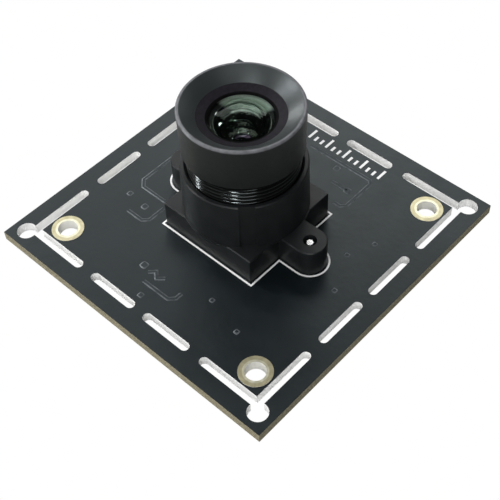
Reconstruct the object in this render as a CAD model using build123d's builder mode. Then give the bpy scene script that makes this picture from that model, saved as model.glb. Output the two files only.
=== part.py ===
from build123d import *
from math import copysign, sqrt
import os

# Board camera module: a small square circuit board with a moulded lens holder,
# a screw-in lens and the parts that the holder and the lens hide.
# Millimetres. The origin is the centre of the board's back face, +Z runs along
# the lens axis away from the board, and X and Y run along the board's edges.

os.makedirs("parts", exist_ok=True)

# Circuit board
board_thickness = 1.2
inner_board_side = 32.0
frame_rail = 1.95
slot_width = 1.05
slot_length = 6.4
middle_web = 1.55
corner_web = 1.7

# Holes of the board
bolt_edge_distance = 2.0
bolt_hole_diameter = 2.2
pad_width = 0.7
plating_thickness = 0.05
rail_hole_diameter = 2.2
rail_hole_edge = 0.7

# Printed lines and marks
print_thickness = 0.03
print_width = 0.2
print_gap = 0.16
mark_count = 13
mark_pitch = 0.85
mark_height = 1.5
mark_stroke = 0.3
mark_edge = 0.45
mark_row_x = 2.0

# Thread and focus travel
thread_diameter = 12.0
thread_pitch = 0.5
thread_depth = 0.3
thread_fit = 0.05
crest_flat = 0.08
root_flat = 0.12

# Lens holder
tower_height = 9.3
tower_wall = 0.7
tower_draft = 0.12
tower_bulge = 0.57
tower_foot_ledge = 0.1
tower_foot_height = 0.3
tower_edge_chamfer = 0.12
moulded_edge = 0.1
base_corner_radius = 0.15
bore_lead_in = 0.25
base_height = 3.4
glue_groove_width = 1.7
glue_groove_depth = 0.32
glue_groove_flare = 0.14
ear_hole_spacing = 18.0
ear_hole_diameter = 1.5
ear_width = 3.7
holder_cavity_wall = 1.25
holder_cavity_height = 2.3
holder_web = 1.0

# Filter and image sensor
filter_side = 8.0
filter_thickness = 0.3
filter_ledge = 0.7
filter_gap = 0.05
sensor_side_x = 8.4
sensor_side_y = 7.6
sensor_height = 0.8
sensor_rim = 1.1
sensor_pocket_depth = 0.45
die_margin = 0.3
die_thickness = 0.25
cover_glass_overlap = 0.6
cover_glass_thickness = 0.35

# Lens barrel
barrel_above_web = 1.1
head_length = 5.2
head_step = 0.4
head_flare = 0.1
head_chamfer = 0.08
neck_length = 0.35
neck_depth = 0.12
threaded_length = 6.95
rim_width = 0.32
rim_chamfer = 0.12
funnel_depth = 1.15
barrel_seat_step = 0.78
barrel_lip_width = 0.5
barrel_lip_height = 1.48

# Lens stack, front to back
running_gap = 0.03
seat_gap = 0.02
front_element_diameter = 7.9
front_element_edge = 1.2
front_dome_margin = 0.5
front_dome_radius = 5.6
front_hollow_radius = 3.0
front_hollow_margin = 1.45
ring_cover = 0.65
ring_thickness = 0.63
ring_drop = 0.35
seal_width = 0.31
seal_bevel = 0.16
ring_over_element = 0.28
front_spacer_length = 1.2
spacer_wall = 0.55
baffle_opening = 3.8
baffle_thickness = 0.2
second_element_edge = 0.9
second_front_radius = 4.2
second_rear_radius = -6.0
stop_thickness = 0.25
stop_opening = 1.8
third_element_edge = 1.95
third_front_radius = 5.0
third_rear_radius = 4.0
clear_edge = 0.85
rear_element_edge = 1.5
rear_front_radius = -9.0
rear_rear_radius = 6.0

# Holder screws
screw_diameter = 1.2
screw_board_clearance = 0.2
screw_head_diameter = 2.6
screw_head_height = 0.7
screw_tip_depth = 0.3
screw_tip_chamfer = 0.25
cross_length = 1.5
cross_width = 0.35
cross_depth = 0.35

# Back of the board
processor_side = 9.0
processor_height = 0.9
processor_y = 7.0
memory_length = 4.9
memory_width = 3.9
memory_height = 1.5
memory_x = -9.0
memory_y = 7.0
inductor_side = 4.0
inductor_height = 1.8
inductor_x = 9.0
inductor_y = 6.0
regulator_length = 2.9
regulator_width = 1.6
regulator_height = 1.1
regulator_y = 11.6
crystal_length = 3.2
crystal_width = 2.5
crystal_height = 0.8
crystal_y = 12.0
lead_width = 0.35
lead_thickness = 0.15
lead_reach = 0.9
memory_lead_pitch = 1.27
regulator_lead_pitch = 0.95
body_lift = 0.1
chip_chamfer = 0.12

# Connector at the back
contact_pitch = 1.25
contact_count = 6
contact_side = 0.4
contact_reach = 2.4
connector_wall = 0.7
connector_end = 1.3
connector_width = 4.0
connector_height = 3.6
connector_floor = 0.9
connector_y = -9.5
key_width = 1.6
tail_length = 1.1

# Chip capacitors and resistors: a row of each on both sides of the connector
chip_length = 1.0
chip_width = 0.5
chip_height = 0.5
chip_cap = 0.22
chip_rows = 4
chip_pitch = 1.6
chip_column_gap = 1.2

# Sizes that follow
board_top = board_thickness
bolt_spacing = inner_board_side - 2 * bolt_edge_distance
slot_line = inner_board_side / 2 + slot_width / 2
board_side = inner_board_side + 2 * (slot_width + frame_rail)
rail_hole_line = board_side / 2 - rail_hole_edge - rail_hole_diameter / 2
bore_diameter = thread_diameter + 2 * thread_fit
tower_top_diameter = bore_diameter + 2 * tower_wall
tower_root_diameter = tower_top_diameter + 2 * tower_draft
base_side = tower_root_diameter - 2 * tower_bulge
cavity_side = base_side - 2 * holder_cavity_wall
web_top = board_top + holder_cavity_height + holder_web
base_top = board_top + base_height
tower_top = board_top + tower_height
barrel_bottom = web_top + barrel_above_web
neck_bottom = barrel_bottom + threaded_length
head_bottom = neck_bottom + neck_length
rim_z = head_bottom + head_length
head_root_radius = thread_diameter / 2 + head_step
rim_radius = head_root_radius + head_flare
crest_radius = thread_diameter / 2
root_radius = crest_radius - thread_depth
throat_z = rim_z - funnel_depth
ring_radius = front_element_diameter / 2 + ring_cover
ring_bottom = throat_z - ring_thickness
shoulder_z = ring_bottom - seat_gap
front_seat_z = shoulder_z - front_element_edge
front_dome_edge = front_element_diameter / 2 - front_dome_margin
front_hollow_edge = front_element_diameter / 2 - front_hollow_margin
stack_radius = front_element_diameter / 2 - barrel_seat_step
front_bore_radius = front_element_diameter / 2 + running_gap
stack_bore_radius = stack_radius + running_gap
lip_top = barrel_bottom + barrel_lip_height
lip_radius = stack_bore_radius - barrel_lip_width
front_spacer_bottom = front_seat_z - front_spacer_length
second_bottom = front_spacer_bottom - second_element_edge
stop_bottom = second_bottom - stop_thickness
third_bottom = stop_bottom - third_element_edge
rear_bottom = lip_top + seat_gap
rear_top = rear_bottom + rear_element_edge
sensor_top = board_top + sensor_height
connector_length = (contact_count - 1) * contact_pitch + 2 * (connector_end + connector_wall)


def save(solid, name):
    """Label a finished piece and write its file."""
    solid.label = name
    export_step(solid, f"parts/{name}.step")


def bulge(radius, edge):
    """Height of a spherical cap; a negative radius gives a hollow."""
    return copysign(abs(radius) - sqrt(radius**2 - edge**2), radius)


def lens_element(half_width, top, bottom, front_radius, front_edge, rear_radius, rear_edge):
    """Round glass with a cap or hollow of its own on the front and on the back."""
    with BuildPart() as element:
        with BuildSketch(Plane.XZ):
            with BuildLine():
                front_apex = top + bulge(front_radius, front_edge)
                rear_apex = bottom - bulge(rear_radius, rear_edge)
                front_mid = front_apex - bulge(front_radius, front_edge / 2)
                rear_mid = rear_apex + bulge(rear_radius, rear_edge / 2)
                ThreePointArc((0, front_apex), (front_edge / 2, front_mid), (front_edge, top))
                Polyline(
                    (front_edge, top), (half_width, top),
                    (half_width, bottom), (rear_edge, bottom),
                )
                ThreePointArc((rear_edge, bottom), (rear_edge / 2, rear_mid), (0, rear_apex))
                Line((0, rear_apex), (0, front_apex))
            make_face()
        revolve(axis=Axis.Z)
    return element.part


def ring(points):
    """Solid of revolution about the lens axis from a closed outline."""
    with BuildPart() as turned:
        with BuildSketch(Plane.XZ):
            with BuildLine():
                Polyline(*points, close=True)
            make_face()
        revolve(axis=Axis.Z)
    return turned.part


def footprint(grow, mode=Mode.ADD):
    """Outline of the holder's base and ears on the board, grown all round."""
    Rectangle(base_side + 2 * grow, base_side + 2 * grow, mode=mode)
    SlotCenterToCenter(ear_hole_spacing, ear_width + 2 * grow, mode=mode)


def chip_body(centre, size, lift):
    """Plain chip under the board's back face, its far edges chamfered."""
    length_x, length_y, height = size
    with BuildPart() as body:
        with BuildSketch(Plane.XY.offset(-height)):
            with Locations(centre):
                Rectangle(length_x, length_y)
        extrude(amount=height - lift)
        chamfer(body.faces().sort_by(Axis.Z)[0].edges(), chip_chamfer)
    return body.part


# Board with a snap-off outer frame, marked out by a line of slots on each side
with BuildPart() as circuit_board:
    with BuildSketch():
        Rectangle(board_side, board_side)
        with GridLocations(bolt_spacing, bolt_spacing, 2, 2):
            Circle(bolt_hole_diameter / 2 + plating_thickness, mode=Mode.SUBTRACT)
        with GridLocations(2 * rail_hole_line, 2 * rail_hole_line, 2, 2):
            Circle(rail_hole_diameter / 2, mode=Mode.SUBTRACT)
        with GridLocations(ear_hole_spacing, 0, 2, 1):
            Circle((screw_diameter + screw_board_clearance) / 2, mode=Mode.SUBTRACT)
        slot_middle = (middle_web + slot_length) / 2
        leg_start = middle_web / 2 + slot_length + corner_web
        leg_length = slot_line + slot_width / 2 - leg_start
        leg_middle = leg_start + leg_length / 2
        for turn in range(4):
            with Locations(Location((0, 0), 90 * turn)):
                with Locations((-slot_middle, slot_line), (slot_middle, slot_line)):
                    SlotOverall(slot_length, slot_width, mode=Mode.SUBTRACT)
                with Locations((-leg_middle, slot_line), (leg_middle, slot_line)):
                    SlotOverall(leg_length, slot_width, mode=Mode.SUBTRACT)
    extrude(amount=board_thickness)
save(circuit_board.part, "circuit_board")

# Plated eyelets of the four bolt holes: a thin tube with a pad on each face
bolt_corners = {
    "left": (-1, -1),
    "front": (1, -1),
    "right": (1, 1),
    "rear": (-1, 1),
}
for corner, (side_x, side_y) in bolt_corners.items():
    centre = (side_x * bolt_spacing / 2, side_y * bolt_spacing / 2)
    with BuildPart() as plated_ring:
        with BuildSketch(Plane.XY.offset(-plating_thickness)):
            with Locations(centre):
                Circle(bolt_hole_diameter / 2 + pad_width)
        extrude(amount=board_thickness + 2 * plating_thickness)
        with BuildSketch():
            with Locations(centre):
                Circle(bolt_hole_diameter / 2 + pad_width)
                Circle(bolt_hole_diameter / 2 + plating_thickness, mode=Mode.SUBTRACT)
        extrude(amount=board_thickness, mode=Mode.SUBTRACT)
        with BuildSketch(Plane.XY.offset(-plating_thickness)):
            with Locations(centre):
                Circle(bolt_hole_diameter / 2)
        extrude(amount=board_thickness + 2 * plating_thickness, mode=Mode.SUBTRACT)
    save(plated_ring.part, f"plated_ring_{corner}")

# Printed line round the holder's footprint
with BuildPart() as holder_outline_print:
    with BuildSketch(Plane.XY.offset(board_top)):
        footprint(print_gap + print_width)
        footprint(print_gap, Mode.SUBTRACT)
    extrude(amount=print_thickness)
save(holder_outline_print.part, "holder_outline_print")

# Row of plain printed ticks along the far edge, long and short by turns
with BuildPart() as edge_marks_print:
    mark_row_y = inner_board_side / 2 - mark_edge - mark_height / 2
    with BuildSketch(Plane.XY.offset(board_top)):
        for i in range(mark_count):
            mark_length = mark_height if i % 3 == 0 else mark_height / 2
            mark_x = mark_row_x + (i - (mark_count - 1) / 2) * mark_pitch
            with Locations((mark_x, mark_row_y - (mark_height - mark_length) / 2)):
                Rectangle(mark_stroke, mark_length)
    extrude(amount=print_thickness)
save(edge_marks_print.part, "edge_marks_print")

# Moulded holder: square base, two screw ears and a round tower with the lens bore
with BuildPart() as lens_holder:
    with BuildSketch(Plane.XY.offset(board_top)):
        RectangleRounded(base_side, base_side, base_corner_radius)
        SlotCenterToCenter(ear_hole_spacing, ear_width)
    extrude(amount=base_height)
    chamfer(lens_holder.faces().sort_by(Axis.Z)[-1].edges(), moulded_edge)
    with BuildSketch(Plane.XZ):
        with BuildLine():
            Polyline(
                (0, base_top - tower_foot_height),
                (tower_root_diameter / 2, base_top - tower_foot_height),
                (tower_root_diameter / 2 + tower_foot_ledge, base_top - tower_foot_ledge),
                (tower_root_diameter / 2 + tower_foot_ledge, base_top),
                (tower_root_diameter / 2, base_top),
                (tower_top_diameter / 2, tower_top - tower_edge_chamfer),
                (tower_top_diameter / 2 - tower_edge_chamfer, tower_top),
                (0, tower_top),
                close=True,
            )
        make_face()
    revolve(axis=Axis.Z)
    with BuildSketch(Plane.XY.offset(board_top)):
        Rectangle(cavity_side, cavity_side)
    extrude(amount=holder_cavity_height, mode=Mode.SUBTRACT)
    with BuildSketch(Plane.XZ):
        with BuildLine():
            Polyline(
                (0, web_top),
                (bore_diameter / 2, web_top),
                (bore_diameter / 2, tower_top - bore_lead_in),
                (bore_diameter / 2 + bore_lead_in, tower_top),
                (0, tower_top),
                close=True,
            )
        make_face()
    revolve(axis=Axis.Z, mode=Mode.SUBTRACT)
    with BuildSketch(Plane.XY.offset(web_top - filter_thickness)):
        Rectangle(filter_side + 2 * filter_gap, filter_side + 2 * filter_gap)
    extrude(amount=filter_thickness, mode=Mode.SUBTRACT)
    with BuildSketch(Plane.XY.offset(board_top)):
        Rectangle(filter_side - 2 * filter_ledge, filter_side - 2 * filter_ledge)
    extrude(amount=web_top - board_top, mode=Mode.SUBTRACT)
    with BuildSketch(Plane.XY.offset(board_top)):
        with GridLocations(ear_hole_spacing, 0, 2, 1):
            Circle(ear_hole_diameter / 2)
    extrude(amount=base_height, mode=Mode.SUBTRACT)
    groove_floor = tower_root_diameter / 2 - glue_groove_depth
    groove_shoulder = groove_floor + glue_groove_depth - glue_groove_flare
    groove_mouth = glue_groove_width / 2 + 2 * glue_groove_flare
    with BuildSketch(Plane.XY.offset(base_top).rotated((0, 0, -45))):
        with BuildLine():
            Polyline(
                (groove_floor, -glue_groove_width / 2),
                (groove_shoulder, -glue_groove_width / 2),
                (groove_shoulder + 2 * glue_groove_flare, -groove_mouth),
                (groove_shoulder + 2 * glue_groove_flare, groove_mouth),
                (groove_shoulder, glue_groove_width / 2),
                (groove_floor, glue_groove_width / 2),
                close=True,
            )
        make_face()
    extrude(amount=tower_top - base_top, mode=Mode.SUBTRACT)
save(lens_holder.part, "lens_holder")

# Screws from the back of the board up into the ears
with BuildPart() as holder_screws:
    tip_z = base_top - screw_tip_depth
    with GridLocations(ear_hole_spacing, 0, 2, 1):
        Cylinder(
            screw_diameter / 2, tip_z,
            align=(Align.CENTER, Align.CENTER, Align.MIN),
        )
    chamfer(holder_screws.faces().sort_by(Axis.Z)[-2:].edges(), screw_tip_chamfer)
    with BuildSketch(Plane.XY.offset(-screw_head_height)):
        with GridLocations(ear_hole_spacing, 0, 2, 1):
            Circle(screw_head_diameter / 2)
    extrude(amount=screw_head_height)
    with BuildSketch(Plane.XY.offset(-screw_head_height)):
        with GridLocations(ear_hole_spacing, 0, 2, 1):
            Rectangle(cross_length, cross_width)
            Rectangle(cross_width, cross_length)
    extrude(amount=cross_depth, mode=Mode.SUBTRACT)
save(holder_screws.part, "holder_screws")

# Filter glass in its recess over the holder's window
with BuildPart() as filter_glass:
    with BuildSketch(Plane.XY.offset(web_top - filter_thickness)):
        Rectangle(filter_side, filter_side)
    extrude(amount=filter_thickness)
save(filter_glass.part, "filter_glass")

# Image sensor: package with a pocket, the chip in it and a glass lid over it
pocket_x = sensor_side_x - 2 * sensor_rim
pocket_y = sensor_side_y - 2 * sensor_rim
with BuildPart() as sensor_package:
    with BuildSketch(Plane.XY.offset(board_top)):
        Rectangle(sensor_side_x, sensor_side_y)
    extrude(amount=sensor_height)
    with BuildSketch(Plane.XY.offset(sensor_top)):
        Rectangle(pocket_x, pocket_y)
    extrude(amount=-sensor_pocket_depth, mode=Mode.SUBTRACT)
save(sensor_package.part, "sensor_package")

with BuildPart() as sensor_die:
    with BuildSketch(Plane.XY.offset(sensor_top - sensor_pocket_depth)):
        Rectangle(pocket_x - 2 * die_margin, pocket_y - 2 * die_margin)
    extrude(amount=die_thickness)
save(sensor_die.part, "sensor_die")

with BuildPart() as sensor_cover_glass:
    with BuildSketch(Plane.XY.offset(sensor_top)):
        Rectangle(pocket_x + 2 * cover_glass_overlap, pocket_y + 2 * cover_glass_overlap)
    extrude(amount=cover_glass_thickness)
save(sensor_cover_glass.part, "sensor_cover_glass")

# Lens barrel: flared head, neck, ridged thread and stepped inside
thread_outline = []
ridge_flank = (thread_pitch - crest_flat - root_flat) / 2
for i in range(int(threaded_length / thread_pitch)):
    ridge_z = barrel_bottom + i * thread_pitch
    thread_outline += [
        (root_radius, ridge_z),
        (crest_radius, ridge_z + ridge_flank),
        (crest_radius, ridge_z + ridge_flank + crest_flat),
        (root_radius, ridge_z + 2 * ridge_flank + crest_flat),
    ]
lens_barrel = ring(
    [(lip_radius, barrel_bottom)]
    + thread_outline
    + [
        (root_radius, neck_bottom),
        (root_radius - neck_depth, neck_bottom),
        (root_radius - neck_depth, head_bottom),
        (head_root_radius - head_chamfer, head_bottom),
        (head_root_radius, head_bottom + head_chamfer),
        (rim_radius, rim_z - rim_chamfer),
        (rim_radius - rim_chamfer, rim_z),
        (rim_radius - rim_width, rim_z),
        (ring_radius, throat_z),
        (ring_radius, ring_bottom),
        (front_bore_radius, ring_bottom),
        (front_bore_radius, front_seat_z - seat_gap),
        (stack_bore_radius, front_seat_z - seat_gap),
        (stack_bore_radius, lip_top),
        (lip_radius, lip_top),
    ]
)
save(lens_barrel, "lens_barrel")

# Ring that holds the front glass, and the dark seal inside it
seal_outer_radius = front_element_diameter / 2 - ring_over_element
retaining_ring = ring([
    (ring_radius, ring_bottom),
    (ring_radius, throat_z),
    (seal_outer_radius, throat_z - ring_drop),
    (seal_outer_radius, ring_bottom),
])
save(retaining_ring, "retaining_ring")

seal_foot_radius = front_dome_edge + seat_gap
dust_seal = ring([
    (seal_outer_radius, ring_bottom),
    (seal_outer_radius, throat_z - ring_drop),
    (seal_outer_radius - seal_width, throat_z - ring_drop - seal_bevel),
    (seal_foot_radius, ring_bottom),
])
save(dust_seal, "dust_seal")

# Lens stack: every glass and spacer slides in the barrel's bore with a small gap
front_element = lens_element(
    front_element_diameter / 2, shoulder_z, front_seat_z,
    front_dome_radius, front_dome_edge,
    -front_hollow_radius, front_hollow_edge,
)
save(front_element, "front_element")

front_spacer = ring([
    (stack_radius, front_spacer_bottom),
    (stack_radius, front_seat_z),
    (stack_radius - spacer_wall, front_seat_z),
    (baffle_opening / 2, front_spacer_bottom + baffle_thickness),
    (baffle_opening / 2, front_spacer_bottom),
])
save(front_spacer, "front_spacer")

second_element = lens_element(
    stack_radius, front_spacer_bottom, second_bottom,
    second_front_radius, baffle_opening / 2,
    second_rear_radius, stack_radius - clear_edge,
)
save(second_element, "second_element")

aperture_stop = ring([
    (stack_radius, stop_bottom),
    (stack_radius, second_bottom),
    (stop_opening / 2, second_bottom),
    (stop_opening / 2, stop_bottom),
])
save(aperture_stop, "aperture_stop")

third_element = lens_element(
    stack_radius, stop_bottom, third_bottom,
    third_front_radius, stop_opening / 2 - seat_gap,
    third_rear_radius, stack_radius - clear_edge,
)
save(third_element, "third_element")

rear_spacer = ring([
    (stack_radius, rear_top),
    (stack_radius, third_bottom),
    (stack_radius - spacer_wall, third_bottom),
    (stack_radius - spacer_wall, rear_top),
])
save(rear_spacer, "rear_spacer")

rear_element = lens_element(
    stack_radius, rear_top, rear_bottom,
    rear_front_radius, stack_radius - clear_edge,
    rear_rear_radius, stack_radius - clear_edge,
)
save(rear_element, "rear_element")


# Chips on the back of the board
leaded_lift = lead_thickness + body_lift
chips = {
    "image_processor": ((0, processor_y), (processor_side, processor_side, processor_height), 0),
    "power_inductor": ((inductor_x, inductor_y), (inductor_side, inductor_side, inductor_height), 0),
    "clock_crystal": ((memory_x, crystal_y), (crystal_length, crystal_width, crystal_height), 0),
    "memory_chip": ((memory_x, memory_y), (memory_width, memory_length, memory_height), leaded_lift),
    "voltage_regulator": (
        (inductor_x, regulator_y),
        (regulator_length, regulator_width, regulator_height),
        leaded_lift,
    ),
}
for name, (centre, size, lift) in chips.items():
    save(chip_body(centre, size, lift), name)

# Feet of the memory chip on two sides, and of the regulator above and below
with BuildPart() as memory_leads:
    with BuildSketch(Plane.XY.offset(-leaded_lift)):
        with Locations((memory_x, memory_y)):
            with GridLocations(memory_width + lead_reach, memory_lead_pitch, 2, 4):
                Rectangle(lead_reach, lead_width)
    extrude(amount=leaded_lift)
save(memory_leads.part, "memory_leads")

with BuildPart() as regulator_leads:
    with BuildSketch(Plane.XY.offset(-leaded_lift)):
        with Locations((inductor_x, regulator_y)):
            with GridLocations(regulator_lead_pitch, regulator_width + lead_reach, 3, 2):
                Rectangle(lead_width, lead_reach)
    extrude(amount=leaded_lift)
save(regulator_leads.part, "regulator_leads")

# Shrouded connector that opens downward, with two key slots in its inner wall
mouth_length = connector_length - 2 * connector_wall
mouth_width = connector_width - 2 * connector_wall
with BuildPart() as connector_housing:
    with BuildSketch(Plane.XY.offset(-connector_height)):
        with Locations((0, connector_y)):
            Rectangle(connector_length, connector_width)
    extrude(amount=connector_height)
    with BuildSketch(Plane.XY.offset(-connector_height)):
        with Locations((0, connector_y)):
            Rectangle(mouth_length, mouth_width)
        with Locations((0, connector_y - mouth_width / 2)):
            with GridLocations(mouth_length / 2, 0, 2, 1):
                Rectangle(key_width, 2 * connector_wall)
    extrude(amount=connector_height - connector_floor, mode=Mode.SUBTRACT)
    with BuildSketch(Plane.XY.offset(-connector_floor)):
        with Locations((0, connector_y)):
            with GridLocations(contact_pitch, 0, contact_count, 1):
                Rectangle(contact_side, contact_side)
    extrude(amount=connector_floor, mode=Mode.SUBTRACT)
    with BuildSketch(Plane.XY.offset(-contact_side)):
        with Locations((0, connector_y + connector_width / 4)):
            with GridLocations(contact_pitch, 0, contact_count, 1):
                Rectangle(contact_side, connector_width / 2)
    extrude(amount=contact_side, mode=Mode.SUBTRACT)
save(connector_housing.part, "connector_housing")

# Contacts: a post down into the mouth and a tail along the board
tail_end = connector_width / 2 + tail_length
with BuildPart() as connector_contacts:
    with BuildSketch(Plane.XY.offset(-contact_reach)):
        with Locations((0, connector_y)):
            with GridLocations(contact_pitch, 0, contact_count, 1):
                Rectangle(contact_side, contact_side)
    extrude(amount=contact_reach)
    with BuildSketch(Plane.XY.offset(-contact_side)):
        with Locations((0, connector_y + tail_end / 2)):
            with GridLocations(contact_pitch, 0, contact_count, 1):
                Rectangle(contact_side, tail_end)
    extrude(amount=contact_side)
save(connector_contacts.part, "connector_contacts")

# Chip capacitors on one side of the connector and chip resistors on the other
chip_column_x = connector_length / 2 + chip_column_gap + chip_length / 2
columns = {"chip_resistors": -chip_column_x, "chip_capacitors": chip_column_x}
for name, column_x in columns.items():
    with BuildPart() as chip_column:
        with BuildSketch(Plane.XY.offset(-chip_height)):
            with Locations((column_x, connector_y)):
                with GridLocations(0, chip_pitch, 1, chip_rows):
                    Rectangle(chip_length - 2 * chip_cap, chip_width)
        extrude(amount=chip_height)
    save(chip_column.part, name)

with BuildPart() as chip_end_caps:
    with BuildSketch(Plane.XY.offset(-chip_height)):
        for column_x in columns.values():
            with Locations((column_x, connector_y)):
                with GridLocations(chip_length - chip_cap, chip_pitch, 2, chip_rows):
                    Rectangle(chip_cap, chip_width)
    extrude(amount=chip_height)
save(chip_end_caps.part, "chip_end_caps")
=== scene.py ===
import math

import bmesh
import bpy
import numpy as np
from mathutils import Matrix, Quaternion, Vector


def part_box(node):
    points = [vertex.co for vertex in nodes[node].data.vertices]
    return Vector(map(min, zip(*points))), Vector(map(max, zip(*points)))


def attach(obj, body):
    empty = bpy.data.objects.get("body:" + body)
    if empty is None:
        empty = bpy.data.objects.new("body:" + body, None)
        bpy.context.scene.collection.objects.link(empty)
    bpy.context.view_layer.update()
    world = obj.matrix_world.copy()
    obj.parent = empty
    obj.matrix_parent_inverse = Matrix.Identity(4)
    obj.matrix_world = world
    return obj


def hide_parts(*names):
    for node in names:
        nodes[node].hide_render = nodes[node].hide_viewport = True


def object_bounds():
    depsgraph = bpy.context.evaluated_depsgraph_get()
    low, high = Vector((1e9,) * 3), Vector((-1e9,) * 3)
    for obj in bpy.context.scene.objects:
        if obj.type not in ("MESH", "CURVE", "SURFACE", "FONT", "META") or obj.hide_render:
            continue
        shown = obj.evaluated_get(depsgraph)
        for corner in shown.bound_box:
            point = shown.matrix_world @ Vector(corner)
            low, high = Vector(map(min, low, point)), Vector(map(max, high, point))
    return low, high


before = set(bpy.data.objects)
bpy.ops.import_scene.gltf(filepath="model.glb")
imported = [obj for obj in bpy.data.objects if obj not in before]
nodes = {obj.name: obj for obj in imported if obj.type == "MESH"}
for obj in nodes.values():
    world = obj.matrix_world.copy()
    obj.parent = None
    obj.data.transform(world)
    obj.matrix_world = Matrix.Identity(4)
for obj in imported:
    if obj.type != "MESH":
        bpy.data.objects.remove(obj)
cadLow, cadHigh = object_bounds()
mm = 0.001
weldDistance = 1e-7


# Mesh helpers

def meshPiece(name, vertices, faces, sharpDegrees=30):
    # Links a mesh object, smooth but for the edges that bend more than sharpDegrees.
    mesh = bpy.data.meshes.new(name)
    mesh.from_pydata(vertices, [], faces)
    work = bmesh.new()
    work.from_mesh(mesh)
    bmesh.ops.remove_doubles(work, verts=work.verts, dist=weldDistance)
    bmesh.ops.recalc_face_normals(work, faces=work.faces)
    work.to_mesh(mesh)
    work.free()
    mesh.shade_smooth()
    mesh.set_sharp_from_angle(angle=math.radians(sharpDegrees))
    piece = bpy.data.objects.new(name, mesh)
    bpy.context.scene.collection.objects.link(piece)
    return piece


def gridFaces(rows, columns, closeRows=False):
    # Quads between neighbouring rows; every row is a closed loop of columns.
    row = np.arange(rows if closeRows else rows - 1)[:, None]
    column = np.arange(columns)[None, :]
    nextRow = (row + 1) % rows
    nextColumn = (column + 1) % columns
    quads = np.stack([
        row * columns + column,
        row * columns + nextColumn,
        nextRow * columns + nextColumn,
        nextRow * columns + column,
    ], axis=-1)
    return quads.reshape(-1, 4).tolist()


def turnedPiece(name, radii, heights, segments, closed=True, sharpDegrees=30):
    # Turns an outline about Z. Radii holds one radius a row, or one for each segment.
    angle = np.arange(segments) * 2 * np.pi / segments
    radii = np.asarray(radii, float)
    if radii.ndim == 1:
        radii = np.repeat(radii[:, None], segments, axis=1)
    heights = np.repeat(np.asarray(heights, float)[:, None], segments, axis=1)
    vertices = np.stack([radii * np.cos(angle), radii * np.sin(angle), heights], axis=-1)
    faces = gridFaces(len(radii), segments, closed)
    return meshPiece(name, vertices.reshape(-1, 3).tolist(), faces, sharpDegrees)


def capOutline(radius, edge, height, samples):
    # Points of a spherical cap from the axis out to edge; height is that of the edge.
    r = np.linspace(0, edge, samples)
    rise = np.sqrt(radius**2 - r**2) - math.sqrt(radius**2 - edge**2)
    return r, height + math.copysign(1, radius) * rise


def raisedLine(points, width, height, slope, base):
    # Strip with sloping sides carried along a run of points. Each point's section is four
    # offsets across the run, times the mitre's stretch, with their four heights.
    points = np.asarray(points, float)
    run = np.diff(points, axis=0)
    run /= np.linalg.norm(run, axis=1)[:, None]
    before, after = np.vstack([run[:1], run]), np.vstack([run, run[-1:]])
    tangent = before + after
    tangent /= np.linalg.norm(tangent, axis=1)[:, None]
    side = np.stack([-tangent[:, 1], tangent[:, 0]], axis=1)
    side /= np.maximum((tangent * after).sum(1), 0.5)[:, None]
    across = np.array([-width / 2, slope - width / 2, width / 2 - slope, width / 2])
    up = np.array([0, height, height, 0])
    flat = points[:, None, :] + side[:, None, :] * across[None, :, None]
    rise = np.broadcast_to(base + up[None, :, None], (len(points), 4, 1))
    vertices = np.concatenate([flat, rise], axis=2).reshape(-1, 3)
    last = 4 * (len(points) - 1)
    faces = gridFaces(len(points), 4) + [[3, 2, 1, 0], [last, last + 1, last + 2, last + 3]]
    return vertices, faces


def raisedPad(x, y, side, height, slope, base, samples):
    # Rounded square with sloping sides: the outline is a superellipse, whose sides are the
    # square roots of a cosine and a sine, once at the foot and once drawn in at the top.
    angle = np.arange(samples) * 2 * np.pi / samples
    cosine, sine = np.cos(angle), np.sin(angle)
    outline = np.stack([np.sign(cosine) * abs(cosine)**0.5, np.sign(sine) * abs(sine)**0.5], axis=1)
    rows = []
    for half, z in ((side / 2, base), (side / 2 - slope, base + height)):
        rows.append(np.column_stack([outline * half + (x, y), np.full(samples, z)]))
    faces = gridFaces(2, samples) + [list(range(samples))[::-1], list(range(samples, 2 * samples))]
    return np.vstack(rows), faces


def joinedLines(name, lines, sharpDegrees):
    # One piece from several strips.
    vertices, faces = [], []
    for stripVertices, stripFaces in lines:
        start = len(vertices)
        vertices += stripVertices.tolist()
        faces += [tuple(start + i for i in face) for face in stripFaces]
    return meshPiece(name, vertices, faces, sharpDegrees)


# Material helpers

def addNode(tree, kind, inputs=None, **settings):
    # Adds a node; inputs maps a socket to a plain value or to another node's output.
    node = tree.nodes.new(kind)
    for name, value in settings.items():
        setattr(node, name, value)
    for name, value in (inputs or {}).items():
        if isinstance(value, bpy.types.NodeSocket):
            tree.links.new(value, node.inputs[name])
        else:
            node.inputs[name].default_value = value
    return node


def newSurface(name, sockets):
    # Material with one principled shader; plain numbers sit on the shader's own sockets.
    material = bpy.data.materials.new(name)
    material.use_nodes = True
    shader = material.node_tree.nodes["Principled BSDF"]
    for socket, value in sockets.items():
        shader.inputs[socket].default_value = value
    return material, material.node_tree, shader


def objectPoint(tree):
    return addNode(tree, "ShaderNodeTexCoord").outputs["Object"]


def split(tree, vector):
    return addNode(tree, "ShaderNodeSeparateXYZ", {"Vector": vector}).outputs


def calc(tree, operation, a, b=0.0):
    return addNode(tree, "ShaderNodeMath", {0: a, 1: b}, operation=operation).outputs[0]


def step(tree, value, low, high):
    # Rises smoothly from 0 at low to 1 at high.
    return addNode(
        tree, "ShaderNodeMapRange",
        {"Value": value, "From Min": low, "From Max": high},
        interpolation_type="SMOOTHSTEP",
    ).outputs[0]


def noise(tree, point, scale, detail=2.0):
    return addNode(
        tree, "ShaderNodeTexNoise",
        {"Vector": point, "Scale": scale, "Detail": detail},
    ).outputs[0]


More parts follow.
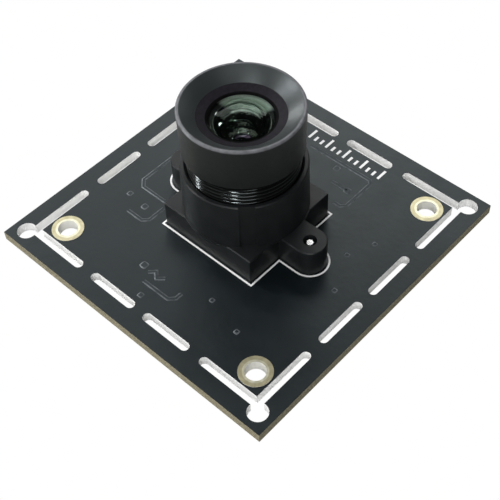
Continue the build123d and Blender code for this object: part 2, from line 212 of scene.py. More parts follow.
def ramp(tree, value, low, high):
    # Colour from low to high as the value goes from 0.3 to 0.7, where noise mostly lies.
    node = addNode(tree, "ShaderNodeValToRGB", {"Fac": value})
    for stop, position, colour in zip(node.color_ramp.elements, (0.3, 0.7), (low, high)):
        stop.position = position
        stop.color = (*colour, 1)
    return node.outputs[0]


def mixColour(tree, factor, a, b):
    node = addNode(tree, "ShaderNodeMix", data_type="RGBA")
    for socket, value in ((0, factor), (6, a), (7, b)):
        if isinstance(value, bpy.types.NodeSocket):
            tree.links.new(value, node.inputs[socket])
        else:
            node.inputs[socket].default_value = (*value, 1) if socket else value
    return node.outputs[2]


def levelShare(tree, low, high):
    # Rises from 0 to 1 as the height of the surface's normal, up or down, goes from low to high.
    normal = split(tree, addNode(tree, "ShaderNodeNewGeometry").outputs["True Normal"])
    return step(tree, calc(tree, "ABSOLUTE", normal[2]), low, high)


def roughen(tree, shader, grain, amount, base):
    # Roughness: the base plus the given amount of a noise.
    spread = calc(tree, "MULTIPLY", grain, amount)
    tree.links.new(calc(tree, "ADD", spread, base), shader.inputs["Roughness"])


def emboss(tree, shader, height, depth):
    # Bump: the surface leans as if the height, from 0 to 1, were this deep in metres.
    bump = addNode(tree, "ShaderNodeBump", {"Height": height, "Distance": depth})
    tree.links.new(bump.outputs[0], shader.inputs["Normal"])


def axisRadius(tree, point):
    # Distance from the lens axis: the length of x and y alone.
    flat = addNode(tree, "ShaderNodeVectorMath", {0: point, 1: (1, 1, 0)}, operation="MULTIPLY")
    return addNode(
        tree, "ShaderNodeVectorMath", {0: flat.outputs[0]}, operation="LENGTH",
    ).outputs["Value"]


def give(material, *pieces):
    for piece in pieces:
        piece.data.materials.clear()
        piece.data.materials.append(material)


# Surfaces

boltReach = 14 * mm  # from the middle to each bolt hole, along x and y


def boardSurface():
    # Solder mask on the faces that look up or down, bare laminate on cut walls.
    # Mask: near-black slate, slow noise for cloudiness, fine noise for orange peel.
    # Laminate: thin glass layers from a sine of the height, roughened by noise. The milled
    # walls inside the outline are painted near white, as painted light, far whiter than the
    # board's own edge of the same laminate.
    values = {
        "maskDark": (0.0014, 0.0032, 0.0046),
        "maskLight": (0.0034, 0.0062, 0.0080),
        "edgeDark": (0.15, 0.13, 0.08),
        "edgeLight": (0.39, 0.35, 0.235),
        "paintedLightCutDark": (0.94, 0.94, 0.92),
        "paintedLightCutLight": (0.99, 0.99, 0.98),
        "edgeBand": (0.3 * mm, 0.2 * mm),
        "layerPitch": 0.24 * mm,
        "layerWeight": 0.14,
        "wallRough": 0.85,
        "maskRough": 0.305,
        "cloudRough": 0.12,
        "peelDepth": 0.012 * mm,
    }
    material, tree, shader = newSurface("solder_mask", {
        "Specular IOR Level": 0.5,
        "Specular Tint": (0.86, 0.98, 1.0, 1),
    })
    point = objectPoint(tree)
    x, y, z = split(tree, point)
    facing = levelShare(tree, 0.4, 0.6)
    mask = ramp(tree, noise(tree, point, 260, 3), values["maskDark"], values["maskLight"])
    layers = calc(tree, "SINE", calc(tree, "MULTIPLY", z, 2 * math.pi / values["layerPitch"]))
    bands = calc(tree, "MULTIPLY", layers, values["layerWeight"])
    fibre = calc(tree, "ADD", bands, noise(tree, point, 5200, 4))
    edge = ramp(tree, fibre, values["edgeDark"], values["edgeLight"])
    # Painted light: the milled walls get a near-white colour instead of the laminate's tan.
    cut = ramp(tree, fibre, values["paintedLightCutDark"], values["paintedLightCutLight"])
    reach = calc(tree, "MAXIMUM", calc(tree, "ABSOLUTE", x), calc(tree, "ABSOLUTE", y))
    outside = step(tree, reach, *(cadHigh.x - inset for inset in values["edgeBand"]))
    wall = mixColour(tree, outside, cut, edge)
    tree.links.new(mixColour(tree, facing, wall, mask), shader.inputs["Base Color"])
    smoother = calc(tree, "MULTIPLY", facing, values["wallRough"] - values["maskRough"])
    rough = calc(tree, "SUBTRACT", values["wallRough"], smoother)
    roughen(tree, shader, noise(tree, point, 420, 2), values["cloudRough"], rough)
    peel = calc(tree, "MULTIPLY", noise(tree, point, 1500, 2), facing)
    emboss(tree, shader, peel, values["peelDepth"])
    return material


def goldSurface():
    # Pale plated metal: straw near the hole and olive outside, told by the distance from the
    # hole's axis, with fine noise for scuffs. The hole's upright wall, told by the surface's
    # slope, is near-white and not metallic: tin's pale tone, brightened as painted light.
    values = {
        "strawDark": (0.74, 0.71, 0.50),
        "strawLight": (0.90, 0.88, 0.70),
        "oliveDark": (0.50, 0.46, 0.29),
        "oliveLight": (0.66, 0.61, 0.40),
        "tinPaintedBrightDark": (0.86, 0.85, 0.78),
        "tinPaintedBrightLight": (0.95, 0.95, 0.92),
        "strawRadius": 1.30 * mm,
        "oliveRadius": 1.42 * mm,
        "metal": 0.95,
        "roughness": 0.26,
        "scuffs": 0.25,
        "scuffDepth": 0.012 * mm,
    }
    material, tree, shader = newSurface("plated_gold", {"Specular IOR Level": 0.5})
    point = objectPoint(tree)
    quarter = addNode(tree, "ShaderNodeVectorMath", {0: point}, operation="ABSOLUTE").outputs[0]
    fromHole = addNode(
        tree, "ShaderNodeVectorMath",
        {0: quarter, 1: (boltReach, boltReach, 0)},
        operation="SUBTRACT",
    ).outputs[0]
    distance = axisRadius(tree, fromHole)
    outside = step(tree, distance, values["strawRadius"], values["oliveRadius"])
    facing = levelShare(tree, 0.4, 0.6)
    fine = noise(tree, point, 1500, 3)
    straw = ramp(tree, fine, values["strawDark"], values["strawLight"])
    olive = ramp(tree, fine, values["oliveDark"], values["oliveLight"])
    # Painted light: the hole's wall is brightened to near white and is not metallic.
    wall = ramp(tree, noise(tree, point, 900, 3), values["tinPaintedBrightDark"], values["tinPaintedBrightLight"])
    tone = mixColour(tree, outside, straw, olive)
    tree.links.new(mixColour(tree, facing, wall, tone), shader.inputs["Base Color"])
    tree.links.new(calc(tree, "MULTIPLY", facing, values["metal"]), shader.inputs["Metallic"])
    roughen(tree, shader, noise(tree, point, 2600, 3), values["scuffs"], values["roughness"])
    emboss(tree, shader, noise(tree, point, 3500, 3), values["scuffDepth"])
    return material


def inkSurface():
    # White ink: fine noise for its chalky top and a slow one for thin places.
    values = {
        "thin": (0.90, 0.90, 0.90),
        "full": (0.97, 0.97, 0.96),
        "roughness": 0.6,
        "chalkDepth": 0.01 * mm,
    }
    material, tree, shader = newSurface("white_ink", {"Roughness": values["roughness"]})
    point = objectPoint(tree)
    tone = ramp(tree, noise(tree, point, 1400, 3), values["thin"], values["full"])
    tree.links.new(tone, shader.inputs["Base Color"])
    emboss(tree, shader, noise(tree, point, 5000, 2), values["chalkDepth"])
    return material


def mouldedSurface(name, dark, light, roughness, grain, gloss=0.36, spread=0.16):
    # Moulded plastic: slow noise for the tone, a finer one that spreads the roughness about
    # its middle value, and the finest for the grain.
    material, tree, shader = newSurface(name, {"Specular IOR Level": gloss})
    point = objectPoint(tree)
    tone = ramp(tree, noise(tree, point, 700, 3), dark, light)
    tree.links.new(tone, shader.inputs["Base Color"])
    roughen(tree, shader, noise(tree, point, 1100, 3), spread, roughness - spread / 2)
    emboss(tree, shader, noise(tree, point, 7500, 3), grain)
    return material


def barrelSurface(rimZ, headZ):
    # Black anodised metal: fine noise for the etched grain and a sine of the distance from
    # the axis for tooling rings. It is matte on the head, satin and lighter grey in the funnel,
    # the grey partly painted sheen, glossy with little grain on the thread, and grey near the
    # rim's corner, partly wear and partly a painted highlight.
    values = {
        "dark": (0.0018, 0.0019, 0.0015),
        "light": (0.0046, 0.0046, 0.0040),
        "funnel": (0.027, 0.031, 0.032),
        "wornAndSheen": (0.20, 0.20, 0.215),
        "wornAndSheenLeast": 0.15,
        "wornAndSheenBand": (0.30 * mm, 0.10 * mm),
        "headBand": 0.02 * mm,
        "funnelRadius": 6.16 * mm,
        "wornAndSheenRadius": 6.12 * mm,
        "rimRadius": 6.22 * mm,
        "matte": 0.44,
        "satin": 0.35,
        "gloss": 0.14,
        "roughSpread": 0.12,
        "ringPitch": 0.09 * mm,
        "ringWeight": 0.08,
        "threadGrain": 0.15,
        "grainDepth": 0.010 * mm,
    }
    material, tree, shader = newSurface("black_anodised", {
        "Specular IOR Level": 0.45,
        "Specular Tint": (0.88, 0.98, 1.0, 1),
    })
    point = objectPoint(tree)
    z = split(tree, point)[2]
    radius = axisRadius(tree, point)
    onHead = step(tree, z, headZ - values["headBand"], headZ + values["headBand"])
    inside = step(tree, radius, values["rimRadius"], values["funnelRadius"])
    inFunnel = calc(tree, "MULTIPLY", inside, onHead)
    tone = ramp(tree, noise(tree, point, 2400, 4), values["dark"], values["light"])
    # Lighter funnel grey: partly the funnel's own satin tone, partly painted sheen.
    tone = mixColour(tree, inFunnel, tone, values["funnel"])
    # Grey at the rim's corner: partly wear, partly a painted highlight.
    nearTop = step(tree, z, *(rimZ - below for below in values["wornAndSheenBand"]))
    outward = step(tree, radius, values["wornAndSheenRadius"], values["rimRadius"])
    atRim = calc(tree, "MULTIPLY", nearTop, outward)
    wearAndSheen = calc(tree, "ADD", noise(tree, point, 1500, 3), values["wornAndSheenLeast"])
    wornAndSheen = calc(tree, "MULTIPLY", atRim, wearAndSheen)
    tree.links.new(mixColour(tree, wornAndSheen, tone, values["wornAndSheen"]), shader.inputs["Base Color"])
    headRough = calc(tree, "MULTIPLY", onHead, values["matte"] - values["gloss"])
    funnelRough = calc(tree, "MULTIPLY", inFunnel, values["satin"] - values["matte"])
    zones = calc(tree, "ADD", headRough, funnelRough)
    base = calc(tree, "ADD", zones, values["gloss"] - values["roughSpread"] / 2)
    roughen(tree, shader, noise(tree, point, 1600, 3), values["roughSpread"], base)
    rings = calc(tree, "SINE", calc(tree, "MULTIPLY", radius, 2 * math.pi / values["ringPitch"]))
    marks = calc(tree, "MULTIPLY", rings, values["ringWeight"])
    grain = calc(tree, "ADD", noise(tree, point, 6500, 3), marks)
    grain = calc(tree, "MULTIPLY", grain, calc(tree, "MAXIMUM", onHead, values["threadGrain"]))
    emboss(tree, shader, grain, values["grainDepth"])
    return material


def darkRingSurface():
    # Dark violet-grey anodised ring: noise for the tone, a sine of the radius for turning marks.
    values = {
        "dark": (0.0080, 0.0068, 0.0098),
        "light": (0.0140, 0.0120, 0.0168),
        "roughness": 0.42,
        "spread": 0.2,
        "markPitch": 0.12 * mm,
        "markDepth": 0.003 * mm,
    }
    material, tree, shader = newSurface("ring_anodised", {"Specular IOR Level": 0.10})
    point = objectPoint(tree)
    tone = ramp(tree, noise(tree, point, 2600, 4), values["dark"], values["light"])
    tree.links.new(tone, shader.inputs["Base Color"])
    roughen(tree, shader, noise(tree, point, 2000, 3), values["spread"], values["roughness"])
    turns = calc(tree, "MULTIPLY", axisRadius(tree, point), 2 * math.pi / values["markPitch"])
    emboss(tree, shader, calc(tree, "SINE", turns), values["markDepth"])
    return material


def glassSurface(name, tint, coating, index=1.52):
    # Clear coated glass: full transmission, the coating's colour in its reflection, slow noise
    # that greys the tint a very little, and finer noise that dulls the gloss, as dust does.
    values = {"greyed": 0.98, "dust": 0.03}
    material, tree, shader = newSurface(name, {
        "IOR": index,
        "Specular Tint": (*coating, 1),
        "Transmission Weight": 1.0,
    })
    point = objectPoint(tree)
    grey = tuple(values["greyed"] * v for v in tint)
    shade = mixColour(tree, noise(tree, point, 900, 2), tint, grey)
    tree.links.new(shade, shader.inputs["Base Color"])
    roughen(tree, shader, noise(tree, point, 1300, 3), values["dust"], 0.0)
    return material


def groundGlassSurface(name, coating, index, rimRadius, shoulder, hollowEdge):
    # Coated glass as above, clear on its dome and hollow, with a faint green stain through
    # its depth. Its rim and the slanting seat round the hollow are ground: pale green with
    # fine noise on the far side only, a painted lit crescent, told by x and y along that
    # direction as a share of the radius, and inked black on the rest. The pale grain is
    # painted darker towards the hollow, as painted shade.
    values = {
        "farDegrees": 122,
        "farBand": (0.58, 0.78),
        "rimBand": (0.04 * mm, 0.02 * mm),
        "seatBand": (0.2 * mm, 0.3 * mm),
        "edgeBand": 0.01 * mm,
        "frostDark": (0.84, 0.92, 0.86),
        "frostLight": (0.95, 0.99, 0.96),
        # Painted shade colour of the grain next to the hollow.
        "thin": (0.42, 0.50, 0.42),
        "paintedShadeWidth": 0.45 * mm,
        "ink": (0.0015, 0.0012, 0.0018),
        "stain": (0.55, 0.72, 0.60, 1),
        "stainDensity": 340.0,
        "dust": 0.03,
        "groundRough": 0.85,
    }
    material, tree, shader = newSurface(name, {"IOR": index, "Specular Tint": (*coating, 1)})
    point = objectPoint(tree)
    x, y, z = split(tree, point)
    radius = axisRadius(tree, point)
    atRim = step(tree, radius, *(rimRadius - inset for inset in values["rimBand"]))
    below = step(tree, z, *(shoulder - drop for drop in values["seatBand"]))
    beyond = step(tree, radius, hollowEdge, hollowEdge + values["edgeBand"])
    ground = calc(tree, "MAXIMUM", atRim, calc(tree, "MULTIPLY", below, beyond))
    turn = math.radians(values["farDegrees"])
    alongX = calc(tree, "MULTIPLY", x, math.cos(turn))
    alongY = calc(tree, "MULTIPLY", y, math.sin(turn))
    far = calc(tree, "DIVIDE", calc(tree, "ADD", alongX, alongY), radius)
    # Painted lit crescent: the ground glass stays pale only on the far side.
    paintedLitCrescent = calc(tree, "MULTIPLY", step(tree, far, *values["farBand"]), ground)
    frost = ramp(tree, noise(tree, point, 3000, 3), values["frostDark"], values["frostLight"])
    # Painted shade: the pale grain darkens towards the hollow's edge.
    paintedShadeFade = step(tree, radius, hollowEdge, hollowEdge + values["paintedShadeWidth"])
    frost = mixColour(tree, paintedShadeFade, values["thin"], frost)
    opaque = mixColour(tree, paintedLitCrescent, values["ink"], frost)
    tree.links.new(mixColour(tree, ground, (1, 1, 1), opaque), shader.inputs["Base Color"])
    tree.links.new(calc(tree, "SUBTRACT", 1.0, ground), shader.inputs["Transmission Weight"])
    grain = calc(tree, "MULTIPLY", ground, values["groundRough"])
    roughen(tree, shader, noise(tree, point, 1300, 3), values["dust"], grain)
    stain = addNode(
        tree, "ShaderNodeVolumeAbsorption",
        {"Color": values["stain"], "Density": values["stainDensity"]},
    )
    tree.links.new(stain.outputs[0], tree.nodes["Material Output"].inputs["Volume"])
    return material


def metalSurface(name, dark, light, roughness, grain=0.006 * mm, spread=0.2):
    # Plain metal: noise for the tone, a finer one that spreads the roughness about its middle
    # value, and the finest for small wear.
    material, tree, shader = newSurface(name, {"Metallic": 1.0})
    point = objectPoint(tree)
    tone = ramp(tree, noise(tree, point, 1800, 3), dark, light)
    tree.links.new(tone, shader.inputs["Base Color"])
    roughen(tree, shader, noise(tree, point, 3000, 3), spread, roughness - spread / 2)
    emboss(tree, shader, noise(tree, point, 6000, 2), grain)
    return material


# Lens barrel: a true helical thread, a flared head and a funnel front

barrel = {
    "pitch": 0.5 * mm,
    "threadDepth": 0.3 * mm,
    "rowsPerTurn": 16,
    "segments": 168,
    "sharpDegrees": 25,
    "fadeTurns": 0.6,
    "headLength": 5.2 * mm,
    "neckLength": 0.35 * mm,
    "neckDepth": 0.30 * mm,
    "flare": 0.1 * mm,
    "headStep": 0.4 * mm,
    "headChamfer": 0.08 * mm,
    "rimWidth": 0.32 * mm,
    "rimRound": 0.19 * mm,
    "rimSamples": 7,
    "rimBevel": (0.05 * mm, 0.02 * mm),
    "funnelDepth": 1.15 * mm,
    "lipWidth": 0.5 * mm,
    "lipHeight": 1.48 * mm,
    "glassGap": 0.03 * mm,
    "seatGap": 0.02 * mm,
}
barrelLow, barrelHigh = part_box("lens_barrel")
ringLow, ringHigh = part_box("retaining_ring")
stackLow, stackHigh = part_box("front_spacer")
frontLow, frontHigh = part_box("front_element")


def threadRadii(heights, angles, crest):
    # Thread radius at each height and angle: the height less the helix's own rise, taken as
    # a share of a turn, gives a ridge that falls off as a square from its rounded crest.
    share = (heights[:, None] - heights[0]) / barrel["pitch"] - angles[None, :] / (2 * np.pi)
    ridge = np.abs((share % 1) * 2 - 1)
    depth = ridge**2 * barrel["threadDepth"]
    fromEnd = np.minimum(heights - heights[0], heights[-1] - heights)
    fade = np.clip(fromEnd / (barrel["fadeTurns"] * barrel["pitch"]), 0, 1)[:, None]
    return crest - barrel["threadDepth"] + (barrel["threadDepth"] - depth) * fade


def roundedCorner(radius, height, bend, samples):
    # Quarter circle from the upright side to the flat top, its centre one bend inside both.
    angle = np.linspace(0, np.pi / 2, samples)
    across = radius - bend + bend * np.cos(angle)
    up = height - bend + bend * np.sin(angle)
    return list(zip(across, up))


def makeBarrel():
    # Turns one closed outline: up the thread and the outside of the head, over the rim, and
    # down through the funnel, the glass seat and the bore.
    rimRadius, rimZ, bottom = barrelHigh.x, barrelHigh.z, barrelLow.z
    rootHead = rimRadius - barrel["flare"]
    crest = rootHead - barrel["headStep"]
    headBottom = rimZ - barrel["headLength"]
    neckBottom = headBottom - barrel["neckLength"]
    rowCount = round((neckBottom - bottom) / barrel["pitch"] * barrel["rowsPerTurn"])
    rows = np.linspace(bottom, neckBottom, rowCount)
    angles = np.arange(barrel["segments"]) * 2 * np.pi / barrel["segments"]
    neck = crest - barrel["threadDepth"] - barrel["neckDepth"]
    rimInside = rimRadius - barrel["rimWidth"]
    bevelIn, bevelDown = barrel["rimBevel"]
    throat = rimZ - barrel["funnelDepth"]
    pocket = frontHigh.x + barrel["glassGap"]
    seatZ = frontLow.z - barrel["seatGap"]
    bore = stackHigh.x + barrel["glassGap"]
    lip = bore - barrel["lipWidth"]
    lipZ = bottom + barrel["lipHeight"]
    outline = [
        (neck, neckBottom), (neck, headBottom),
        (rootHead - barrel["headChamfer"], headBottom),
        (rootHead, headBottom + barrel["headChamfer"]),
        *roundedCorner(rimRadius, rimZ, barrel["rimRound"], barrel["rimSamples"]),
        (rimInside, rimZ), (rimInside - bevelIn, rimZ - bevelDown),
        (ringHigh.x, throat), (ringHigh.x, ringLow.z),
        (pocket, ringLow.z), (pocket, seatZ),
        (bore, seatZ), (bore, lipZ),
        (lip, lipZ), (lip, bottom),
    ]
    plain = np.array(outline)
    radii = np.vstack([
        threadRadii(rows, angles, crest),
        np.repeat(plain[:, :1], barrel["segments"], axis=1),
    ])
    heights = np.concatenate([rows, plain[:, 1]])
    sharp = barrel["sharpDegrees"]
    piece = turnedPiece("barrel_shell", radii, heights, barrel["segments"], True, sharp)
    give(barrelSurface(rimZ, headBottom), piece)
    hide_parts("lens_barrel")
    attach(piece, "lens_barrel_body")


makeBarrel()
print("barrel made")


# Glasses: finely turned copies of the CAD elements, in their own places. Front and rear give
# each cap's radius, negative where it is hollow, and the radius of its edge. Lift raises the
# front cap above the CAD's. Slant is how far the seat drops from the rim to the hollow's edge.
# Sizes are in millimetres.

glasses = {
    "front_element": {
        "front": (5.6, 3.45), "rear": (-2.6, 2.5), "lift": 0, "slant": 0.55,
        "coating": (0.22, 0.34, 0.26), "index": 1.52, "ground": True,
    },
    "second_element": {
        "front": (2.35, 1.95), "rear": (-6.0, 2.32), "lift": 0.8, "slant": 0,
        "coating": (0.85, 1.0, 0.8), "index": 1.3, "ground": False,
    },
    "third_element": {
        "front": (5.0, 0.88), "rear": (4.0, 2.32), "lift": 0, "slant": 0,
        "coating": (0.45, 0.30, 0.60), "index": 1.52, "ground": False,
    },
    "rear_element": {
        "front": (-9.0, 2.32), "rear": (6.0, 2.32), "lift": 0, "slant": 0,
        "coating": (0.5, 0.8, 0.9), "index": 1.52, "ground": False,
    },
}
glassSamples = 40
glassSegments = 128
glassSharpDegrees = 20


def makeGlass(node, shape):
    # Turned glass whose front and rear caps end at the flats that the CAD box gives.
    low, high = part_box(node)
    frontRadius, frontEdge = (v * mm for v in shape["front"])
    rearRadius, rearEdge = (v * mm for v in shape["rear"])
    rise = abs(frontRadius) - math.sqrt(frontRadius**2 - frontEdge**2)
    drop = abs(rearRadius) - math.sqrt(rearRadius**2 - rearEdge**2)
    top = high.z + shape["lift"] * mm - max(math.copysign(rise, frontRadius), 0)
    bottom = low.z + max(math.copysign(drop, rearRadius), 0)
    frontR, frontZ = capOutline(frontRadius, frontEdge, top, glassSamples)
    rearR, rearZ = capOutline(rearRadius, rearEdge, 0, glassSamples)
    radii = np.concatenate([frontR, [high.x, high.x], rearR[::-1]])
    rim = [top, bottom + shape["slant"] * mm]
    heights = np.concatenate([frontZ, rim, bottom - rearZ[::-1]])
    sharp = glassSharpDegrees
    piece = turnedPiece(node + "_glass", radii, heights, glassSegments, False, sharp)
    name, coating, index = node + "_coated", shape["coating"], shape["index"]
    if shape["ground"]:
        material = groundGlassSurface(name, coating, index, high.x, top, rearEdge)
    else:
        material = glassSurface(name, (1, 1, 1), coating, index)
    give(material, piece)
    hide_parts(node)
    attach(piece, "lens_stack")


for node, shape in glasses.items():
    makeGlass(node, shape)
print("glasses made")


# Copper lines that show as low ridges under the solder mask, in board millimetres

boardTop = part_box("circuit_board")[1].z
traces = {
    "width": 0.5,
    "height": 0.045,
    "slope": 0.14,
    "padSamples": 24,
    "sharpDegrees": 15,
    "lines": [
        [(-2.0, 13.2), (6.6, 13.3), (7.0, 12.9), (7.0, 8.6), (6.5, 8.1), (5.6, 8.1)],
        [(-13.0, 1.2), (-13.0, -3.4), (-12.2, -4.2), (-8.2, -4.2)],
        [(-10.9, -7.8), (-8.7, -7.8), (-8.1, -7.2), (-8.1, -5.0)],
        [(-2.4, -13.5), (1.2, -13.5), (1.8, -12.9), (1.8, -12.1)],
        [(-2.9, -12.4), (-2.3, -11.8), (-1.6, -12.4), (-0.9, -11.8)],
        [(3.4, 10.4), (5.6, 10.4)],
    ],
    "pads": [
        (-3.9, -12.0, 0.9), (-1.3, -15.0, 0.7), (2.6, 12.3, 0.8), (5.7, 10.4, 0.9),
        (12.8, 6.3, 0.6), (11.5, 3.2, 0.6), (13.5, -1.3, 0.6), (-12.6, -5.9, 0.7),
        (-9.9, -6.2, 0.8), (4.8, -10.6, 0.6), (9.4, -11.8, 0.6), (-5.6, 12.4, 0.8),
    ],
}


def traceSurface():
    # Solder mask over copper: noise for the tone and gloss, as on the bare mask, and lighter
    # where the surface slopes: partly the mask running thin over the copper's edge, partly a
    # painted highlight on those edges.
    values = {
        "topDark": (0.006, 0.010, 0.0125),
        "topLight": (0.010, 0.0145, 0.0175),
        "thinMaskAndHighlightDark": (0.02, 0.024, 0.027),
        "thinMaskAndHighlightLight": (0.12, 0.13, 0.137),
        "slopeBand": (0.995, 0.975),
        "roughness": 0.36,
        "roughSpread": 0.12,
        "peelDepth": 0.01 * mm,
    }
    material, tree, shader = newSurface("mask_over_copper", {
        "Specular IOR Level": 0.5,
        "Specular Tint": (0.86, 0.98, 1.0, 1),
    })
    point = objectPoint(tree)
    top = ramp(tree, noise(tree, point, 600, 3), values["topDark"], values["topLight"])
    # Lighter slopes: partly thin mask over copper, partly a painted highlight.
    side = ramp(tree, noise(tree, point, 1400, 3), values["thinMaskAndHighlightDark"], values["thinMaskAndHighlightLight"])
    onSlope = levelShare(tree, *values["slopeBand"])
    tree.links.new(mixColour(tree, onSlope, top, side), shader.inputs["Base Color"])
    grain = noise(tree, point, 900, 2)
    roughen(tree, shader, grain, values["roughSpread"], values["roughness"])
    emboss(tree, shader, noise(tree, point, 1500, 2), values["peelDepth"])
    return material


def makeTraces():
    width, height, slope = (traces[key] * mm for key in ("width", "height", "slope"))
    samples = traces["padSamples"]
    strips = []
    for line in traces["lines"]:
        strips.append(raisedLine(np.array(line) * mm, width, height, slope, boardTop))
    for x, y, side in traces["pads"]:
        strips.append(raisedPad(x * mm, y * mm, side * mm, height, slope, boardTop, samples))
    piece = joinedLines("masked_traces", strips, traces["sharpDegrees"])
    give(traceSurface(), piece)
    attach(piece, "module")


makeTraces()
print("traces made")


# Finishes of the CAD nodes that stay as they are

mouldings = {
    "black_moulded": {
        "dark": (0.0065, 0.0078, 0.0084), "light": (0.0105, 0.0122, 0.0130),
        "roughness": 0.38, "grain": 0.010 * mm,
    },
    "chip_moulded": {
        "dark": (0.010, 0.010, 0.011), "light": (0.018, 0.018, 0.019),
        "roughness": 0.6, "grain": 0.02 * mm,
    },
    "ivory_moulded": {
        "dark": (0.62, 0.57, 0.45), "light": (0.72, 0.68, 0.56),
        "roughness": 0.45, "grain": 0.008 * mm,
    },
    "grey_ferrite": {
        "dark": (0.035, 0.035, 0.036), "light": (0.06, 0.06, 0.06),
        "roughness": 0.7, "grain": 0.03 * mm,
    },
    "tan_ceramic": {
        "dark": (0.30, 0.21, 0.13), "light": (0.40, 0.30, 0.19),
        "roughness": 0.5, "grain": 0.006 * mm,
    },
    "black_glaze": {
        "dark": (0.006, 0.006, 0.007), "light": (0.012, 0.012, 0.013),
        "roughness": 0.25, "grain": 0.003 * mm,
    },
    "dark_sensor": {
        "dark": (0.012, 0.012, 0.013), "light": (0.02, 0.02, 0.021),
        "roughness": 0.3, "grain": 0.004 * mm,
    },
    "black_seal": {
        "dark": (0.0010, 0.0010, 0.0012), "light": (0.0022, 0.0020, 0.0024),
        "roughness": 0.7, "grain": 0.01 * mm, "gloss": 0.05,
    },
    "stack_black": {
        "dark": (0.0015, 0.0015, 0.0016), "light": (0.0035, 0.0035, 0.0036),
        "roughness": 0.65, "grain": 0.008 * mm, "gloss": 0.06,
    },
}
metals = {
    "tinned_metal": {"dark": (0.55, 0.55, 0.53), "light": (0.78, 0.78, 0.76), "roughness": 0.32},
    "screw_steel": {"dark": (0.70, 0.70, 0.69), "light": (0.92, 0.92, 0.91), "roughness": 0.2},
    "silicon": {"dark": (0.16, 0.19, 0.22), "light": (0.24, 0.28, 0.30), "roughness": 0.2},
}
surfaces = {name: mouldedSurface(name, **values) for name, values in mouldings.items()}
surfaces.update({name: metalSurface(name, **values) for name, values in metals.items()})
surfaces["board"] = boardSurface()
surfaces["dark_ring"] = darkRingSurface()
surfaces["filter"] = glassSurface("filter_coated", (0.6, 0.9, 0.92), (0.9, 0.5, 0.45))
surfaces["cover_glass"] = glassSurface("cover_coated", (1, 1, 1), (0.8, 0.9, 1.0))
surfaces["gold"] = goldSurface()
surfaces["ink"] = inkSurface()

finishes = {
    "board": ["circuit_board"],
    "gold": ["plated_ring_left", "plated_ring_front", "plated_ring_right", "plated_ring_rear"],
    "ink": ["holder_outline_print", "edge_marks_print"],
    "black_moulded": ["lens_holder"],
    "screw_steel": ["holder_screws"],
    "dark_ring": ["retaining_ring"],
    "black_seal": ["dust_seal"],
    "stack_black": ["front_spacer", "aperture_stop", "rear_spacer"],
    "filter": ["filter_glass"],
    "dark_sensor": ["sensor_package"],
    "silicon": ["sensor_die"],
    "cover_glass": ["sensor_cover_glass"],
    "chip_moulded": ["image_processor", "memory_chip", "voltage_regulator"],
    "grey_ferrite": ["power_inductor"],
    "ivory_moulded": ["connector_housing"],
    "black_glaze": ["chip_resistors"],
    "tan_ceramic": ["chip_capacitors"],
    "tinned_metal": [
        "memory_leads", "regulator_leads", "clock_crystal", "connector_contacts", "chip_end_caps",
    ],
}
for surface, dressed in finishes.items():
    give(surfaces[surface], *(nodes[node] for node in dressed))
print("finishes given")


# Floor, light and camera

stage = {
    "floorHalf": 0.5,
    "floorGap": 0.02 * mm,
    "floorTone": (0.45, 0.45, 0.45, 1),
    "floorRough": 0.8,
    "surroundTone": (0.9, 0.95, 1.0, 1),
    "surroundStrength": 0.05,
}


def whiteToCamera(tree, shaderOutput, whiteKind):
    # Plain white for the camera's own rays, and the given shader for all other light.
    path = addNode(tree, "ShaderNodeLightPath")
    white = addNode(tree, whiteKind, {"Color": (1, 1, 1, 1), "Strength": 1.0})
    return addNode(
        tree, "ShaderNodeMixShader",
        {0: path.outputs["Is Camera Ray"], 1: shaderOutput, 2: white.outputs[0]},
    ).outputs[0]


def makeFloor():
    # Grey floor just under the lowest part, white where the camera looks.
    half = stage["floorHalf"]
    z = cadLow.z - stage["floorGap"]
    corners = [(-half, -half, z), (half, -half, z), (half, half, z), (-half, half, z)]
    floor = meshPiece("floor", corners, [(0, 1, 2, 3)])
    material, tree, shader = newSurface("pale_floor", {
        "Base Color": stage["floorTone"],
        "Roughness": stage["floorRough"],
    })
    shown = whiteToCamera(tree, shader.outputs[0], "ShaderNodeEmission")
    tree.links.new(shown, tree.nodes["Material Output"].inputs["Surface"])
    give(material, floor)


def makeWorld():
    # Faint bluish surround, white where the camera looks.
    world = bpy.data.worlds.new("studio")
    bpy.context.scene.world = world
    world.use_nodes = True
    tree = world.node_tree
    surround = tree.nodes["Background"]
    surround.inputs["Color"].default_value = stage["surroundTone"]
    surround.inputs["Strength"].default_value = stage["surroundStrength"]
    shown = whiteToCamera(tree, surround.outputs[0], "ShaderNodeBackground")
    tree.links.new(shown, tree.nodes["World Output"].inputs["Surface"])


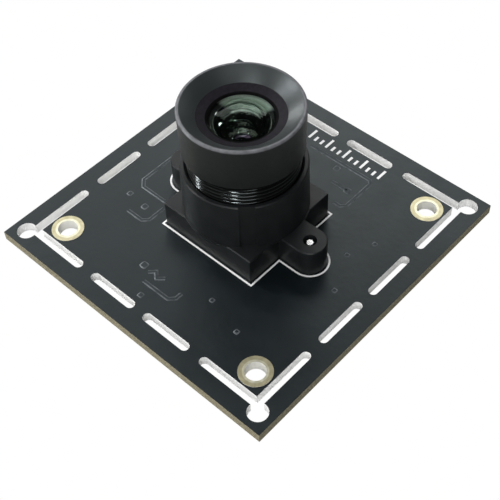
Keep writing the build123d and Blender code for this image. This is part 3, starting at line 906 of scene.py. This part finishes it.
# Each lamp has an azimuth and an elevation round the part in degrees, a distance and a size
# in metres, a turn on its own axis in degrees, and a brightness, which is its radiance.
lamps = {
    "back_left_softbox": (153, 37, 0.45, (0.30, 0.21), 0, 1.5),
    "back_right_softbox": (113, 41, 0.45, (0.28, 0.19), 0, 2.3),
    "low_left_softbox": (272, 20, 0.50, (0.44, 0.20), 0, 0.6),
    "front_softbox": (312, 30, 0.50, (0.30, 0.20), 0, 4.2),
    "side_window": (168, 17, 0.40, (0.022, 0.055), -20, 60),
    "high_window": (193, 45, 0.40, (0.036, 0.036), 45, 110),
    "thread_window": (228, 10, 0.40, (0.022, 0.06), 0, 110),
    "left_window": (214, 36, 0.40, (0.026, 0.042), 0, 90),
    "front_window": (285, 60, 0.40, (0.032, 0.032), 20, 85),
    "ceiling_light_1": (166, 67, 0.40, (0.018, 0.018), 0, 55),
    "ceiling_light_2": (269, 82, 0.40, (0.018, 0.018), 0, 55),
    "ceiling_light_3": (357, 75, 0.40, (0.018, 0.018), 0, 55),
    "ceiling_light_4": (263, 62, 0.40, (0.018, 0.018), 0, 55),
}


def makeLamp(name, azimuthDegrees, elevationDegrees, distance, size, turnDegrees, brightness):
    azimuth, elevation = math.radians(azimuthDegrees), math.radians(elevationDegrees)
    flat = distance * math.cos(elevation)
    light = bpy.data.lights.new(name, "AREA")
    light.shape = "RECTANGLE"
    light.size, light.size_y = size
    light.energy = brightness * math.pi * light.size * light.size_y
    lamp = bpy.data.objects.new(name, light)
    lamp.location = (
        flat * math.cos(azimuth),
        flat * math.sin(azimuth),
        distance * math.sin(elevation),
    )
    turn = Quaternion((0, 0, 1), math.radians(turnDegrees))
    lamp.rotation_mode = "QUATERNION"
    lamp.rotation_quaternion = (-lamp.location).to_track_quat("-Z", "Y") @ turn
    bpy.context.scene.collection.objects.link(lamp)


view = {
    "place": (51.85 * mm, -51.74 * mm, 85.85 * mm),
    "aim": (3.22 * mm, -3.08 * mm, 1.2 * mm),
    "rollDegrees": -3.085,
    "lens": 73.09,
    "sensor": 36.0,
    "clip": (1 * mm, 10),
}


def makeCamera():
    camera = bpy.data.objects.new("camera", bpy.data.cameras.new("camera"))
    bpy.context.scene.collection.objects.link(camera)
    camera.location = view["place"]
    toward = Vector(view["aim"]) - camera.location
    roll = Quaternion((0, 0, 1), math.radians(view["rollDegrees"]))
    camera.rotation_mode = "QUATERNION"
    camera.rotation_quaternion = toward.to_track_quat("-Z", "Y") @ roll
    camera.data.lens = view["lens"]
    camera.data.sensor_width = view["sensor"]
    camera.data.clip_start, camera.data.clip_end = view["clip"]
    bpy.context.scene.camera = camera


makeFloor()
makeWorld()
for name, values in lamps.items():
    makeLamp(name, *values)
makeCamera()
bpy.context.scene.view_settings.view_transform = "Standard"
print("stage set")
